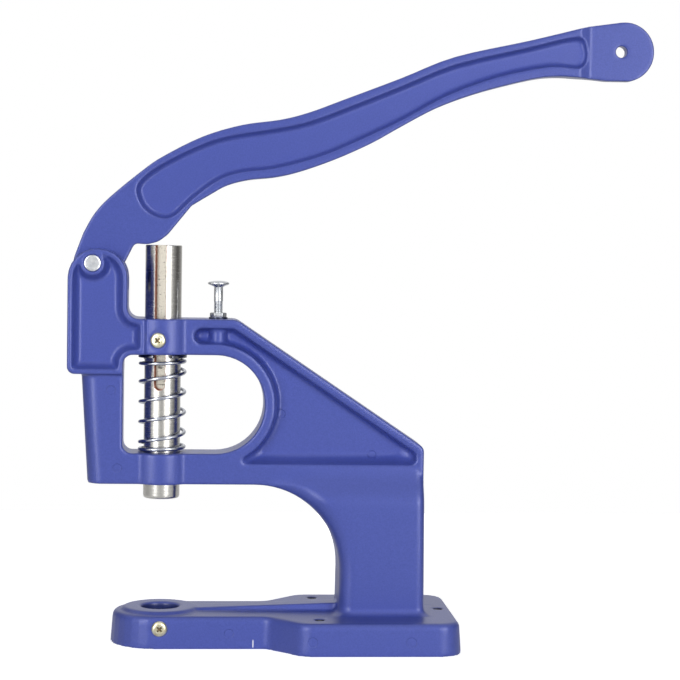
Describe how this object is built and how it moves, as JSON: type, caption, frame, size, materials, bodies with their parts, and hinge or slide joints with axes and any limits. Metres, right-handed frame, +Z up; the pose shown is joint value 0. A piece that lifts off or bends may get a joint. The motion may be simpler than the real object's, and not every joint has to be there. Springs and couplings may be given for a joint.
{
  "type": "hand lever eyelet press",
  "caption": "Hand lever press for eyelets and snap fasteners: a blue cast frame with a sprung steel ram, a long curved lever pinned between ears, and a die socket in its foot.",
  "frame": {"origin": "on the ram's axis, in the plane that the base stands on", "axes": "+X along the base from the ram to the back, +Y across it, away from the side with the screws, +Z up along the ram"},
  "size_m": [0.3212, 0.094, 0.3456],
  "materials": {
    "blue_coat": "satin blue powder coat on a die casting, with a fine orange peel",
    "turned_steel": "turned and polished bar",
    "spring_wire": "bright drawn wire",
    "bright_zinc": "bright zinc plate",
    "yellow_zinc": "pale yellow zinc plate"
  },
  "bodies": {
    "frame": {"frame_casting": "blue_coat", "pivot_pin": "bright_zinc", "ram_guide_screw": "yellow_zinc", "stop_lock_nut": "bright_zinc", "stop_washer": "bright_zinc", "return_spring": "spring_wire"},
    "lever": {"lever": "blue_coat"},
    "ram": {"ram": "turned_steel", "retaining_ring": "spring_wire"},
    "stop_bolt": {"stop_bolt": "bright_zinc"},
    "die_clamp_screw": {"die_clamp_screw": "yellow_zinc"}
  },
  "joints": [
    {"name": "lever_pivot", "type": "hinge", "parent": "frame", "child": "lever", "pos_m": [-0.0382, 0, 0.2083], "axis": [0, 1, 0], "range_deg": [0, 38.3]},
    {"name": "ram_slide", "type": "slide", "parent": "frame", "child": "ram", "axis": [0, 0, -1], "range_m": [0, 0.0228], "stiffness_N_per_m": 2700, "springref_m": -0.018, "deforming": ["return_spring"]},
    {"name": "stop_bolt_adjust", "type": "slide", "parent": "frame", "child": "stop_bolt", "axis": [0, 0, -1], "range_m": [0, 0.005]},
    {"name": "die_clamp_travel", "type": "slide", "parent": "frame", "child": "die_clamp_screw", "axis": [0, -1, 0], "range_m": [0, 0.004]}
  ],
  "couplings": [
    {"joint": "ram_slide", "follows": "lever_pivot", "m_per_rad": 0.0339}
  ]
}
